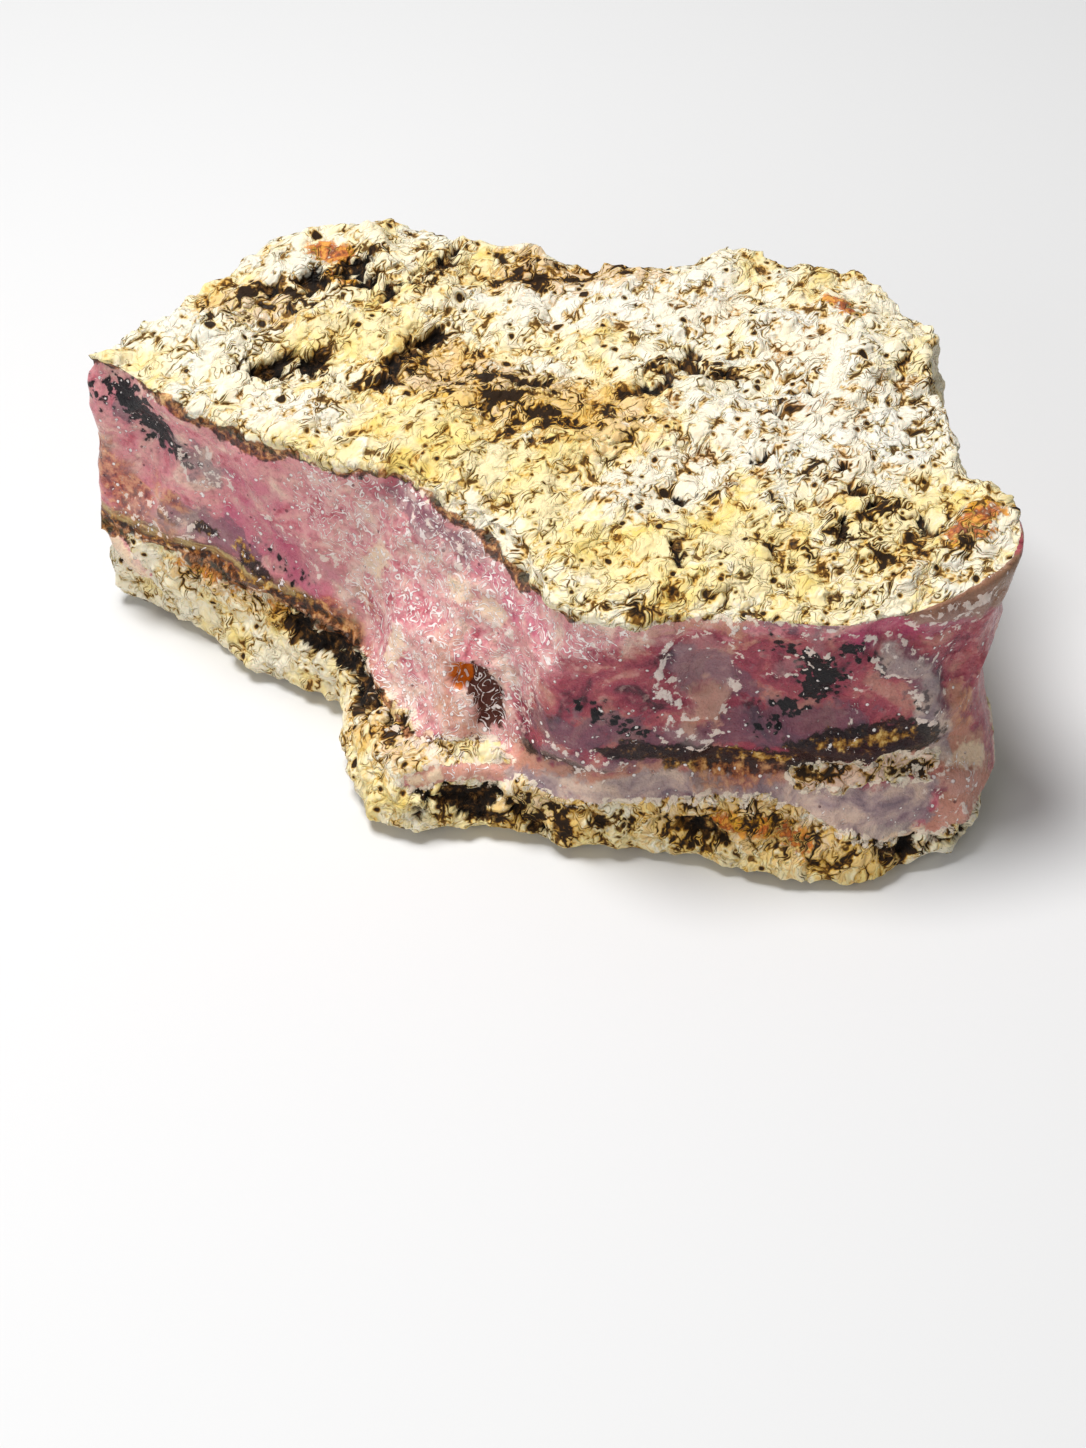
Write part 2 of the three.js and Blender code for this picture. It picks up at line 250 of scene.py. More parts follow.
def turn(x, y):
    """Angle about the stone's middle, in degrees."""
    return np.degrees(np.arctan2(y - MIDDLE[1], x - MIDDLE[0]))


def line_height(line):
    """Height of an edge line at every point's angle."""
    line = np.array(line)
    angles = turn(line[:, 0], line[:, 1])
    order = np.argsort(angles)
    return np.interp(turn(places[:, 0], places[:, 1]), angles[order], line[order, 2], period=360)


TOP_FACE_MM = 28  # the top face lies above this height
CRUST_ONLY_MM = 7  # it is crust throughout, so it counts as this much higher than it is
looks_up = np.clip((facing[:, 2] - 0.6) / 0.25, 0, 1)  # from nought on a side to one where it faces up
on_top_face = looks_up * (places[:, 2] > TOP_FACE_MM)
above_foot = places[:, 2] - line_height(SEAM_FOOT)
below_top = line_height(SEAM_TOP) - places[:, 2] - CRUST_ONLY_MM * on_top_face
print("share of points in the seam:", round(float(((above_foot > 0) & (below_top > 0)).mean()), 2))

# %% [markdown]
# ## Where the minerals sit
# Manganese grows black ferns in opal, iron stains rock rust red and yellow, and the last silica to set is
# white or grey. Each such mark has a place of its own on the stone. It is written as a stroke: how far it
# reaches to either side, and the places that it passes through, all in millimetres. Every point of the
# stone then keeps how deep it lies inside the nearest stroke, and a shader can fray that with noise of a
# true size.

# %% Marks on the crusts
CRUST_MARKS = {  # yellow, ochre and rust are iron, white is the last silica; brown and black are dirt and also painted shade in the gaps
    "yellow": [
        (7, [(-15, 0, 36), (-2, -10, 36), (11, -21, 35)]), (6, [(3, -1, 37), (11, -11, 37), (24, -22, 36)]),
        (4, [(-25, 16, 37), (-15, 15, 37)]), (4, [(34, -19, 35), (42, -14, 36)]),
        (3, [(6, -26, 35), (20, -26, 35.4), (34, -26, 36)]), (3, [(-25, -3, 36), (-22, -6, 36)]),
        (3, [(-20, -24, 4), (-4, -29, 3), (10, -32, 3), (24, -35, 3), (38, -35, 3)]),
        (2, [(-44, 4, 6), (-36, -1, 6)]),
    ],
    "white": [
        (7, [(26, -3, 38), (35, -4, 37), (40, 0, 37)]), (5, [(10, -12, 37), (17, -9, 37)]),
        (6, [(3, 24, 36), (19, 21, 37)]), (3, [(-7, -14, 35), (-4, -17, 34)]),
        (6, [(30, 14, 37), (32, 5, 38)]), (3, [(-30, 4, 36), (-24, 2, 36)]),
        (1.6, [(36, -27, 36.4), (42, -25.4, 37), (48, -21, 38)]),
    ],
    "ochre": [
        (6, [(-10, 10, 36), (-2, 4, 37), (8, 0, 37)]), (2.6, [(-28, 20, 38), (-36, 20, 38)]),
        (3.4, [(14, -32, 6), (26, -33, 7), (31, -34, 5)]), (2.4, [(33, -34.6, 4.4), (40, -34.4, 3.4)]),
        (1.6, [(-42, 5, 10), (-30, -3, 10)]), (4, [(-14, -22, 8), (-16, -16, 6)]),
        (3, [(-2, -28, 5), (4, -30, 6)]), (3, [(-2, 28, 37), (12, 28, 37)]),
    ],
    "rust": [
        (1.4, [(-25, 28, 40), (-22, 27, 40)]), (0.9, [(-23, 24, 39), (-21, 24, 38)]),
        (1.8, [(44, -20, 37), (46, -19, 37), (47, -17, 37)]), (1.2, [(34, 20, 38), (36, 18, 38)]),
        (1, [(-17, -12, 12), (-17, -16, 10)]), (0.6, [(-42, 6, 11), (-33, 1, 11), (-26, -4, 10)]),
        (1.2, [(20, -32, 7), (26, -33, 7), (29, -34, 5)]), (2, [(40, 30, 9), (34, 33, 7)]),
    ],
    "brown": [
        (2.2, [(28, -20, 36), (42, -19, 36)]), (2.4, [(-7, 9, 36), (-2, 3, 37), (3, -1, 37)]),
        (1.8, [(-4, -1, 37), (1, -5, 37)]), (2, [(-18, 8, 36), (-13, 13, 36)]),
        (1.6, [(-22, 23, 39), (-33, 20, 38)]), (1.6, [(-4, 26, 37), (3, 28, 37), (10, 29, 36)]),
        (1.8, [(-30, -2, 11), (-26, -5, 10), (-19, -15, 9)]),
        (1.3, [(-2, -28, 4), (8, -32, 5), (18, -33, 5)]), (2.2, [(0, 32, 8), (-14, 35, 6)]),
        (2, [(14, 8, 37), (22, 9, 37)]), (2.2, [(33, -12, 36), (38, -16, 36)]),
        (2.2, [(42, -17, 36), (45, -21, 36)]), (2, [(33, -22, 36), (40, -23, 36)]),
        (2, [(44, -2, 36), (42, 8, 36)]),
        (1, [(4, -28.6, 34.6), (17, -28.4, 34.6), (30, -28.8, 34.8), (38, -27.6, 35)]),
    ],
    "black": [
        (0.8, [(39, -14, 36), (41, -18, 36)]), (0.7, [(31, -15, 36), (33, -18, 36)]),
        (0.6, [(24, -18, 36), (25, -21, 36)]), (0.6, [(29, -22, 36), (30, -25, 36)]),
        (0.6, [(36, -21, 36), (37, -24, 36)]), (0.4, [(14, -20, 36), (15, -23, 36)]),
        (1.7, [(-32, 10, 36), (-28, 13, 34), (-25, 13, 34)]), (1, [(-24, 13, 34), (-22, 8, 36)]),
        (0.9, [(-26, 23, 39), (-22, 25, 39), (-18, 27, 40)]), (0.7, [(-33, 22, 38), (-27, 22, 39)]),
        (1.2, [(-19, 24, 39), (-17, 22, 38)]), (0.8, [(-13, 23, 39), (-9, 30, 38)]),
        (0.9, [(-37, 18, 38), (-35, 17, 38)]), (0.9, [(-16, 9, 36), (-15, 13, 36), (-11, 17, 36)]),
        (0.8, [(14, 9, 37), (18, 12, 36), (18, 9, 37), (22, 8, 37)]), (0.7, [(12, 5, 37), (15, 6, 38)]),
        (0.9, [(26, 0, 38), (28, 4, 37), (30, 7, 37)]), (0.6, [(24, -7, 37), (28, -6, 37)]),
        (0.8, [(30, -9, 37), (33, -9, 37)]), (1, [(34, -12, 36), (36, -15, 36)]),
        (1, [(16, -12, 36), (18, -12, 36)]), (0.7, [(25, -13, 36), (27, -14, 36)]),
        (1.9, [(-12, -28, 6), (-9, -27, 5.5), (-5, -27.5, 4.5)]),
        (2.2, [(-27, -4, 9), (-22, -7, 10), (-19, -14, 9)]), (1.5, [(-19, -14, 9), (-16, -19, 9)]),
        (0.9, [(-2, -28, 4), (1, -30, 3)]), (1, [(17, -32, 6), (20, -33, 5)]),
        (0.9, [(38, -34, 4), (42, -33, 3.6), (47, -29, 3.6)]), (1.2, [(44, 6, 33), (44, 11, 32)]),
        (1.3, [(20, 34, 8), (26, 34, 6)]), (0.8, [(0, 6, 37), (-3, 9, 36)]),
    ],
}
print("marks on the crusts:", *CRUST_MARKS)

# %% Marks in the opal: clouds
OPAL_CLOUDS = {
    "rose": [
        (10, [(11, -29, 20), (18, -29, 22), (34, -30, 22), (46, -27, 22)]),
        (8, [(4, -28, 14), (30, -31, 13), (49, -22, 14)]), (8, [(46, -24, 32), (50, -12, 28)]),
        (8, [(12, 31, 20), (30, 30, 20)]),
    ],
    # magenta is a deeper stain; on the left face it also paints the shade in the hollow under the crust
    "magenta": [
        (3.2, [(-33, 2, 19.5), (-29, -1, 18), (-25.5, -3, 16)]), (1.6, [(-34, 3, 26), (-30, -1, 26)]),
        (1.9, [(33, -30, 31), (38, -29, 32), (43, -27, 32)]),
        (1.5, [(-5, -17, 29), (-2, -21, 27), (1, -25, 28)]), (3, [(47, -10, 24), (46, 0, 22)]),
    ],
    "grey": [
        (2.6, [(15, -29, 27), (18, -28, 25), (21, -29, 24)]),
        (1.7, [(-15, -8, 33), (-11, -11, 32), (-7, -15, 31)]),
        (1.8, [(-46, 10, 30), (-40, 7, 27), (-37, 5, 25)]), (2.4, [(1, -27, 16), (9, -29, 18)]),
        (2.4, [(2, -27, 12), (12, -29.4, 12)]), (2.6, [(13, -29, 15), (25, -29, 18), (33, -30, 19)]),
        (1.4, [(24, -29, 34), (30, -30, 33)]), (2.4, [(38, -29, 27), (41, -28, 24), (44, -28, 13)]),
        (4, [(-10, 33, 22), (-20, 34, 20)]), (2.2, [(-41, 7, 18), (-34, 2, 16)]),
    ],
    "peach": [
        (4, [(46, -28, 13), (48, -27, 8), (46, -30, 5)]),
        (2, [(-2.4, -25, 9.6), (0, -28, 10), (4, -30, 10.4), (12, -30, 10.4)]),
        (2.2, [(-12.4, -26.4, 7.6), (-4.9, -25.7, 8.2)]),
        (2, [(-11, -19, 22), (-10, -22, 14), (-8, -23, 11)]), (0.9, [(20.5, -29, 33), (21, -29, 29)]),
        (1.6, [(18.6, -28.6, 22), (17, -28.5, 18.6)]), (0.8, [(12, -29, 33), (22, -29, 33)]),
        (1.4, [(40, -29.4, 14), (45, -28, 14)]), (1.6, [(24, -30, 12), (30, -31, 11)]),
        (1.6, [(49, -12, 28), (47, 2, 16)]), (1.6, [(20, -29.5, 12), (14, -29.5, 12)]),
        (1.6, [(45, -26, 20), (46, -26, 17)]),
    ],
    "tan": [
        (2.2, [(36, -28.8, 35), (41, -27.8, 34.2), (45, -26, 33.2), (49, -22, 32)]),
        (2.8, [(45, -25, 35), (50, -18, 33.6)]),
    ],
    "cream": [
        (0.6, [(-13.4, -26.8, 7.2), (-10.9, -26.5, 8.2)]), (1.6, [(-49, 10, 10), (-47, 8, 7)]),
        (1.4, [(46, -28, 12), (48, -25, 10)]), (1.2, [(36, -33.4, 5.4), (41, -32.4, 5.4)]),
        (0.9, [(20, -31, 9), (26, -31.4, 8.8)]), (1.5, [(-16.4, -7.9, 24.1), (-18.1, -7, 21.4)]),
        (1.3, [(-8.9, -15.8, 26), (-7.8, -16.7, 25.9)]), (1.5, [(-14.7, -13.6, 16.4), (-15.5, -13.7, 14)]),
        (1.3, [(-5.2, -18.4, 25.1), (-4.1, -19.1, 24.7)]),
    ],
    "mauve": [
        (1.7, [(-2, -27.5, 7.5), (7, -30.5, 9), (17, -30, 10.6), (25, -30.6, 10.6), (30, -32.6, 8.2),
            (36, -33, 7.2)]),
        (2.6, [(30, -32.6, 8.6), (36, -33, 7.2), (41, -31, 8)]), (1.6, [(41, -28.5, 21), (44, -27.4, 13)]),
        (1, [(36.4, -29.6, 29), (38, -29.1, 26.8), (40.8, -28.3, 24.6), (42.2, -28, 22)]),
        (1.6, [(28, -31, 12), (34, -31.6, 10.2), (42, -30.4, 9.6)]),
    ],
}
print("clouds in the opal:", *OPAL_CLOUDS)

# %% Marks in the opal: beds, crystals and ferns
OPAL_VEINS = {
    "bronze": [
        (1.9, [(15.5, -29, 13.8), (20, -29.2, 12.9), (24, -29.5, 13.1), (28, -30, 14), (33.5, -30, 15.4),
            (39, -29.4, 16), (42, -28.4, 16)]),
        (1.2, [(8, -29, 15), (15.5, -29, 13.8)]), (1.5, [(28, -30, 15.4), (33, -30, 17), (39, -29, 17.6)]),
        (0.5, [(-1, -25, 11.5), (3, -28, 12), (8, -30, 12)]),
        (0.4, [(-43, 7.8, 17), (-41, 6.6, 16.6), (-37, 4.4, 16.6)]), (0.5, [(-34, 2, 15), (-30, -1, 14)]),
    ],
    "gold": [
        (0.5, [(30, -30, 15.8), (35, -30, 16.6), (40, -29, 17)]),
        (0.5, [(14, -29.5, 12.6), (18, -29.4, 12), (23, -30, 12)]), (0.5, [(20, -29, 14), (27, -29.6, 14)]),
        (0.8, [(-34, 3, 16), (-33, 2, 15.6)]), (0.9, [(-13, -23, 10.4), (-10, -23.6, 10), (-6, -23, 10)]),
        (0.6, [(-49, 10.7, 13.2), (-41, 6.3, 12.8), (-33, 1.1, 12.6), (-24.4, -3.9, 12.8)]),
    ],
    "ember": [
        (2.4, [(-50.6, 12, 22), (-49.6, 11, 19), (-46, 9.4, 17)]), (1, [(-44, 8.6, 20), (-41, 7, 19)]),
        (1, [(-48, 10.4, 16), (-42, 7, 15.6)]), (1, [(46, -26, 18.6), (46.4, -25.6, 16)]),
        (0.9, [(-24, -4, 14), (-21, -7.6, 12.6), (-17, -15, 12)]),
        (0.8, [(33, -31, 12), (38, -30.6, 12.4)]), (1.1, [(18, -30, 11), (26, -30.4, 11.2)]),
        (1, [(-19.2, -6.8, 15.1), (-19.4, -6.4, 16.2)]),
    ],
    "manganese": [
        (2, [(-46.6, 10.6, 32.6), (-45, 9.4, 30.8)]), (2.9, [(-44.4, 9, 30), (-43.2, 8.3, 28.6)]),
        (1.5, [(-42.6, 8, 27.6), (-41, 7, 26.8)]), (0.8, [(-40.6, 7, 26.4), (-38.5, 6, 25)]),
        (0.9, [(-50.5, 12.5, 31.2), (-49, 11.5, 30.6)]),
        (0.8, [(5, -29, 20.6), (8, -29, 19.6), (10, -29, 18)]), (0.6, [(8, -29, 19), (12, -29, 17)]),
        (0.7, [(25, -30, 30), (27, -30, 28.6)]),
        (2.2, [(29, -30, 27.4), (30.4, -30, 25.4), (29.6, -29.8, 23.4)]),
        (1.3, [(28, -29.6, 21.8), (26.4, -29.4, 20.4)]), (0.6, [(25.6, -29, 19), (24, -29, 18)]),
        (0.8, [(31.8, -30.4, 30.4), (33.4, -30, 29)]), (0.6, [(34, -30, 28.6), (36, -29.4, 26.6)]),
        (0.5, [(40.6, -28.4, 22.4), (41.4, -28, 19.4)]), (1.2, [(-24, 35, 22), (-18, 35, 18)]),
        (0.3, [(-30, 0, 16), (-26, -3, 14.6)]),
    ],
}

OPAL_EDGES = {
    "chip": [  # pale edges of flakes, too thin for a shell of their own
        (0.35, [(14.2, -28.9, 30.1), (13.4, -28.8, 28), (12.7, -28.7, 24.3), (13.2, -28.7, 22.5),
            (15.8, -28.5, 20.6)]),
        (0.25, [(14.8, -28.7, 18.5), (15.3, -28.8, 16.8), (18.5, -28.9, 15.4)]),
        (0.05, [(20.6, -29, 34), (20.3, -29.1, 30.8), (20.2, -29, 29.6)]),
        (0, [(32.6, -30.1, 27.8), (33.6, -29.7, 23.5), (33.8, -29.8, 18.3)]),
        (0.35, [(16.2, -28, 33), (18.6, -28.4, 33)]), (0.3, [(21.9, -28.4, 32.8), (25.1, -28.8, 32.6)]),
        (0.2, [(27.5, -30.7, 33.2), (30.8, -30.9, 32.4), (34.7, -29.9, 30.4), (37.5, -29.3, 27.6)]),
        (0.25, [(41, -28.2, 31.6), (44, -26.6, 31.8), (47, -24, 31.2)]),
        (0.15, [(40, -28.6, 27.4), (44, -26.8, 27.6)]),
        (0.3, [(-38.6, 6, 25), (-36, 4.4, 24.4), (-34, 3, 25.4)]),
        (0.3, [(-26, -2.6, 20), (-23, -4.6, 17), (-19.6, -8.4, 14)]),
        (0.05, [(4, -28.6, 30), (9, -30, 29.4)]), (0.05, [(10, -30, 30.6), (8, -30, 26.6)]),
    ],
    # two small holes, one of them filled by a crystal
    "cavity": [(1.5, [(-6.6, -21, 17.4), (-5.2, -21.8, 15.4), (-4.9, -22.3, 12.6)])],
    "crystal": [(1.6, [(-8.3, -20.8, 17.4)])],
    "iron": [  # where the seam's edge is a thick iron line
        (3, [(-49, 12, 35), (-42, 7, 34), (-31, 0, 32.8), (-18, -7.5, 34.4), (-6, -15, 32.4),
            (-1.5, -20, 31), (2, -27, 33)]),
        (2.4, [(-50, 12, 12.6), (-39, 5, 12.4), (-27, -3.5, 11.5), (-22, -7.5, 10.8)]),
        (0.6, [(-21, -8, 10.8), (-14, -22, 10)]),
        (4, [(46, 0, 30), (43, 8, 27), (44, 18, 29), (38, 28, 32)]),
        (4, [(5, 31, 27), (-10, 33, 30), (-34, 30, 32)]),
        (4, [(44, 18, 12), (38, 28, 15), (22, 32, 13), (5, 30, 10)]),
        (4, [(-20, 34, 15), (-33, 31, 14), (-42, 23, 12)]),
    ],
}
print("marks in the opal and on its edges:", *OPAL_VEINS, *OPAL_EDGES)

# %% Marks that shape the surface
# Island is pitted crust inside the seam, and ledge is opal below the seam's foot. Frost is a sugary skin
# of tiny splinters that the break left. Shells are thin pieces of opal that still cling to it. Scars are
# shallow bowls with a sharp rim, where a flake has come off.
FORM_MARKS = {
    "island": [(1.5, [(29, -30.6, 11.8), (34, -30.6, 12.4), (38, -30, 12.6), (42, -29, 12)])],
    "ledge": [
        (1.1, [(-13.4, -26.8, 7.2), (-10.9, -26.5, 8.2), (-7.8, -25.8, 8.2), (-4.9, -25.8, 8),
            (-2.6, -26, 8.2)]),
        (2, [(-49, 10, 10), (-47, 8, 7)]),
    ],
    "frost": [
        (7, [(-21, -6, 28), (-17, -8, 20), (-13, -19, 12)]),
        (7, [(-11, -12, 30), (-7, -18, 24), (-7, -22, 14)]),
        (3, [(-2, -20, 28), (1, -25, 28), (0, -24, 20)]),
        (2.4, [(1, -26, 26), (4, -28.6, 29), (7, -29.4, 31)]), (1.6, [(46, -28, 11), (47, -27, 8)]),
        (0.8, [(44, -31, 5.6)]),
    ],
    "shell": [
        (3.4, [(17.4, -28.5, 27.4), (17.8, -28.4, 24.4)]), (1.6, [(12.6, -29.2, 33.4), (13, -29, 31)]),
        (1.2, [(21, -28, 33.6), (26, -28, 33.6)]), (1.3, [(14.8, -28.6, 17.4), (17.6, -29, 15.8)]),
        (1.6, [(17, -28.6, 20), (19, -28.8, 22)]), (0.9, [(28.6, -30.8, 31.6), (29.6, -30.8, 29.6)]),
        (0.9, [(25.4, -29.4, 25.4), (26.8, -29.9, 26.6)]), (1.5, [(41, -28, 31.6), (46, -25, 31.6)]),
        (1.5, [(36.4, -29.6, 29), (38, -29.1, 27), (40.8, -28.3, 24.6), (42.2, -28, 20)]),
        (1.3, [(44, -29.5, 10), (47, -28, 9)]), (1, [(46, -30, 5)]),
        (1.2, [(2, -27, 13.4), (8, -29.4, 12.6)]), (1.6, [(-38.6, 6, 25), (-35.6, 4, 26)]),
        (1.1, [(-46, 9.6, 16.5), (-41, 6.4, 16)]),
        (1, [(-29.5, 0.1, 21.1), (-24.6, -2.4, 19.3), (-20.6, -5.7, 14.9)]),
        (1.2, [(-12, -11, 30), (-9, -14, 29)]), (1.5, [(-3, -21, 22), (-1, -24, 18)]), (3, [(20, 31, 22)]),
        (3, [(-20, 35, 22)]), (3, [(47, 0, 20)]), (2.5, [(44, 18, 20)]), (2, [(2, 31, 18)]),
    ],
    "scar": [
        (4.4, [(17.5, -28.5, 26.5)]), (5, [(28, -30, 23)]), (4.2, [(38, -29.5, 30)]),
        (3.5, [(45, -26, 22)]), (3.8, [(6, -29, 24)]), (5, [(-45, 9, 25)]), (5.5, [(-33, 2, 22)]),
        (5, [(-13, -14, 24)]), (4, [(-5, -20, 23)]), (6, [(20, 31, 22)]), (6, [(-20, 35, 22)]),
        (5, [(44, 18, 20)]), (5, [(2, 31, 18)]),
    ],
}
print("marks that shape the surface:", *FORM_MARKS)

# %% Keep every mark on the points
FAR_OUTSIDE_MM = -6.0


def depth_inside(strokes):
    """How deep each point lies inside the nearest stroke, in mm. It is negative outside."""
    best = np.full(count, FAR_OUTSIDE_MM)
    for reach, spots in strokes:
        spots = [np.array(spot, float) for spot in spots]
        for start, end in zip(spots, spots[1:] or spots):
            along = end - start
            share = np.clip((places - start) @ along / max(along @ along, 1e-9), 0, 1)
            away = np.linalg.norm(places - start - share[:, None] * along, axis=1)
            best = np.maximum(best, reach - away)
    return best


def keep(name, values):
    """Stores one number for each point of the stone."""
    even_mesh.attributes.new(name, "FLOAT", "POINT").data.foreach_set("value", values.astype(np.float32))


keep("above_foot", above_foot)
keep("below_top", below_top)
ALL_MARKS = {**CRUST_MARKS, **OPAL_CLOUDS, **OPAL_VEINS, **OPAL_EDGES, **FORM_MARKS}
for name, strokes in ALL_MARKS.items():
    keep(name, depth_inside(strokes))
print("numbers kept on each point:", sum(a.data_type == "FLOAT" for a in even_mesh.attributes))

# %% [markdown]
# ## Patterns that form and colour share
# The crust is silica that set as small lobes, like popcorn, in beds that lean a little. Warped Voronoi
# cells give such lobes: the distance from a cell's middle is low on top of a lobe and high in the groove
# between two. The relief and the colour both need the same lobes and the same frayed marks, so that paint
# stays in the pits. Noise and Voronoi nodes exist in both kinds of tree, so each pattern has one
# function, which builds it in either.

# %% Lobes of the crust
BED_TURN = math.radians(-50)  # the beds run this way across the top
BED_STRETCH = (0.75, 1.0, 0.95)  # lobes are longer along the beds
BEND_MM = 3.6  # how far the cells are bent out of their plain shapes
LOBE_MM = 2.3
GRAIN_MM = 1.0


def crust_lobes(tree, spot):
    """The bent place that crust patterns are read at, and distances in the cells of lobes and grains."""
    angle = {"Vector": spot, "Angle": BED_TURN}
    turned = add(tree, "ShaderNodeVectorRotate", angle, rotation_type="Z_AXIS")
    bedded = add(tree, VECTOR, [turned, BED_STRETCH], operation="MULTIPLY")
    bend = add(tree, NOISE, {"Vector": bedded, "Scale": 1 / 2.5, "Detail": 2.0}).node.outputs["Color"]
    warped = add(tree, VECTOR, [bend, (BEND_MM,) * 3, bedded], operation="MULTIPLY_ADD")
    lobes = add(tree, CELLS, {"Vector": warped, "Scale": 1 / LOBE_MM})
    grains = add(tree, CELLS, {"Vector": warped, "Scale": 1 / GRAIN_MM})
    return warped, lobes, grains


print("lobes of", LOBE_MM, "mm, grains of", GRAIN_MM, "mm")

# %% Frayed marks
CLOUD_MM = 2.0
CRUMB_MM = 1.0
IN_GROOVES_MM = 3.6  # how much further a black gap reaches where the middle of a lobe is far
GAP_INSET_MM = 2.3  # and how much less where a lobe is highest


def frayed(tree, noise, depth, fray, softness, strength=1.0):
    """A mark's strength, from the depth inside it. Noise moves its rim by about half the fray, in mm."""
    moved = add(tree, MATH, [noise, 2 * fray, depth], operation="MULTIPLY_ADD")
    return add(tree, RANGE, [moved, fray - softness, fray + softness, 0.0, strength], **SOFT)


def black_gaps(tree, noise, lobes, depth):
    """The black gaps in the crust, which run along the grooves between lobes."""
    along_grooves = add(tree, MATH, [lobes, IN_GROOVES_MM, depth], operation="MULTIPLY_ADD")
    from_rim = add(tree, MATH, [along_grooves, GAP_INSET_MM], operation="SUBTRACT")
    return frayed(tree, noise, from_rim, fray=1.8, softness=0.35)


print("marks fray with grains of", CLOUD_MM, "and", CRUMB_MM, "mm")

# %% [markdown]
# ## Relief
# Lobes, pits, scars, shells and ledges change the outline and catch the light, so they are real geometry.
# A sculpted mesh can't be repeated, and a displacement modifier reads only one texture. A Geometry Nodes
# tree can mix many layers, each where its mark says, so it moves every point along its normal. It also
# stores the seam's ragged edge and the point's first place, which the material reads, so that colour and
# form stay together.

# %% Inputs of the relief tree
relief = bpy.data.node_groups.new("stone_relief", "GeometryNodeTree")
relief.interface.new_socket("Geometry", in_out="INPUT", socket_type="NodeSocketGeometry")
LAYERS = {  # what each layer adds to the surface, in millimetres
    "Bed height": 1.6, "Lobe height": 0.7, "Grain height": 0.12, "Gap depth": 0.9, "Ledge height": 0.5,
    "Bowl height": 1.6, "Scar depth": 0.75, "Shell height": 0.3, "Splinter height": 0.2, "Hole depth": 1.8,
    "Lip height": 0.45,
}
for name, value in LAYERS.items():
    relief.interface.new_socket(name, in_out="INPUT", socket_type="NodeSocketFloat").default_value = value
for name, kind in [("Finish", "Material"), ("Low corner", "Vector"), ("High corner", "Vector")]:
    relief.interface.new_socket(name, in_out="INPUT", socket_type="NodeSocket" + kind)
relief.interface.new_socket("Geometry", in_out="OUTPUT", socket_type="NodeSocketGeometry")
given = add(relief, "NodeGroupInput").node.outputs
position = add(relief, "GeometryNodeInputPosition")
spot = add(relief, VECTOR, {"Vector": position, "Scale": 1 / MM}, operation="SCALE")
stored = {
    a.name: add(relief, "GeometryNodeInputNamedAttribute", {"Name": a.name}, data_type="FLOAT")
    for a in even_mesh.attributes if a.data_type == "FLOAT"
}
print("relief layers, mm:", LAYERS)

# %% Ragged edge of the seam
WANDER_MM = {  # how far noise moves each edge; where the number is negative, it moves the other way
    "above_foot": 2.2, "below_top": 3.2, "ledge": 2.2, "island": -4.4,
}
edge_noise = add(relief, NOISE, {"Vector": spot, "Scale": 1 / 2.6, "Detail": 5.0, "Roughness": 0.6})
centred = add(relief, MATH, [edge_noise, 0.5], operation="SUBTRACT")
foot_edge, top_edge, ledge_edge, island_edge = (
    add(relief, MATH, [centred, wander, stored[name]], operation="MULTIPLY_ADD")
    for name, wander in WANDER_MM.items()
)
off_island = add(relief, MATH, [island_edge, -1.0], operation="MULTIPLY")
glassy = add(relief, MATH, [foot_edge, top_edge], operation="MINIMUM")
for kind, edge in [("MAXIMUM", ledge_edge), ("MINIMUM", off_island)]:
    glassy = add(relief, MATH, [glassy, edge], operation=kind)
in_crust = add(relief, RANGE, [glassy, -0.4, 0.4, 1.0, 0.0], **SOFT)
in_opal = add(relief, RANGE, [glassy, -0.4, 0.4, 0.0, 1.0], **SOFT)
print("nodes so far:", len(relief.nodes))

# %% Patterns that the layers are made from
warped, lobes, grains = crust_lobes(relief, spot)
beds = add(relief, NOISE, {"Vector": warped, "Scale": 1 / 7, "Detail": 3.0})
bowl_bend = add(relief, NOISE, {"Vector": spot, "Scale": 1 / 10, "Detail": 2.0}).node.outputs["Color"]
bowl_place = add(relief, VECTOR, [bowl_bend, (7.0, 7.0, 7.0), spot], operation="MULTIPLY_ADD")
bowls = add(relief, CELLS, {"Vector": bowl_place, "Scale": 1 / 9})
splinters = add(relief, NOISE, {"Vector": spot, "Scale": 1 / 1.4, "Detail": 2.0})
crumbs = add(relief, NOISE, {"Vector": warped, "Scale": 1 / CRUMB_MM, **ROUGH})
gaps = black_gaps(relief, crumbs, lobes, stored["black"])
scar_noise = add(relief, NOISE, {"Vector": spot, "Scale": 1 / 3, "Detail": 3.0})
scar = add(relief, MATH, [scar_noise, 4.0, stored["scar"]], operation="MULTIPLY_ADD")
clouds = add(relief, NOISE, {"Vector": spot, "Scale": 1 / CLOUD_MM, **ROUGH})
shells = frayed(relief, clouds, stored["shell"], fray=2.5, softness=0.2)
frosted = add(relief, RANGE, [stored["frost"], -1.0, 1.0, 0.0, 1.0], **SOFT)
frosting = add(relief, MATH, [frosted, in_opal], operation="MULTIPLY")
print("nodes so far:", len(relief.nodes))

